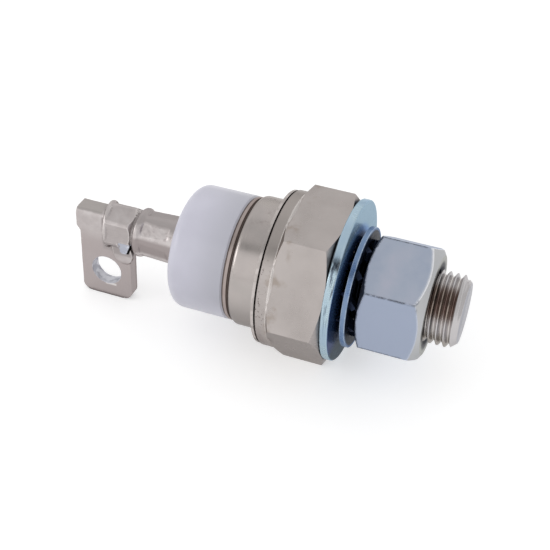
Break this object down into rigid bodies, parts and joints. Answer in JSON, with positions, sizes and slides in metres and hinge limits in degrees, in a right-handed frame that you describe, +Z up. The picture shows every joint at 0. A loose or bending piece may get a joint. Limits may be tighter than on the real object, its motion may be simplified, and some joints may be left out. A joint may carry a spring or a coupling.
{
  "type": "stud-mounted thyristor",
  "caption": "Power thyristor in a stud package: hexagonal base with threaded stud, nut and washers, white ceramic cap and a flat terminal with a screw hole.",
  "frame": {"origin": "on the device's axis, at the flat of the hexagon that seats on the heat sink", "axes": "+X along the axis towards the end of the stud, +Z up, with the flat terminal hanging down from the axis towards -Z and its front face towards -Y"},
  "size_m": [0.0718, 0.031, 0.0291],
  "materials": {
    "nickel_plated_copper": "satin",
    "nickel_plated_terminal": "satin",
    "nickel_plated_steel": "satin",
    "brazed_seal_metal": "satin",
    "alumina": "gloss",
    "blue_zinc": "satin",
    "plain_steel": "satin",
    "molybdenum": "matte",
    "silicon": "polished",
    "bare_copper": "satin",
    "silicone_rubber": "matte",
    "insulating_plastic": "matte",
    "white_plastic": "satin",
    "spring_steel": "satin",
    "gold_plate": "polished"
  },
  "bodies": {
    "root": {"stud_base": "nickel_plated_copper", "weld_ring": "plain_steel", "cap_shell": "nickel_plated_steel", "seal_ring": "brazed_seal_metal", "ceramic_insulator": "alumina", "seal_ferrule": "nickel_plated_steel", "neck_tube": "nickel_plated_terminal", "flag_terminal": "nickel_plated_terminal", "flat_washer": "blue_zinc", "lock_washer": "blue_zinc", "hex_nut": "blue_zinc", "lower_disc": "molybdenum", "silicon_die": "silicon", "edge_seal": "silicone_rubber", "upper_disc": "molybdenum", "cathode_post": "bare_copper", "centring_ring": "white_plastic", "insulating_collar": "insulating_plastic", "pressure_plate": "plain_steel", "disc_springs": "spring_steel", "spring_cage": "plain_steel", "inner_lead": "bare_copper", "gate_pin": "gold_plate", "gate_spring": "spring_steel", "gate_sleeve": "white_plastic", "gate_wire": "white_plastic", "gate_tube": "nickel_plated_steel"}
  },
  "joints": []
}
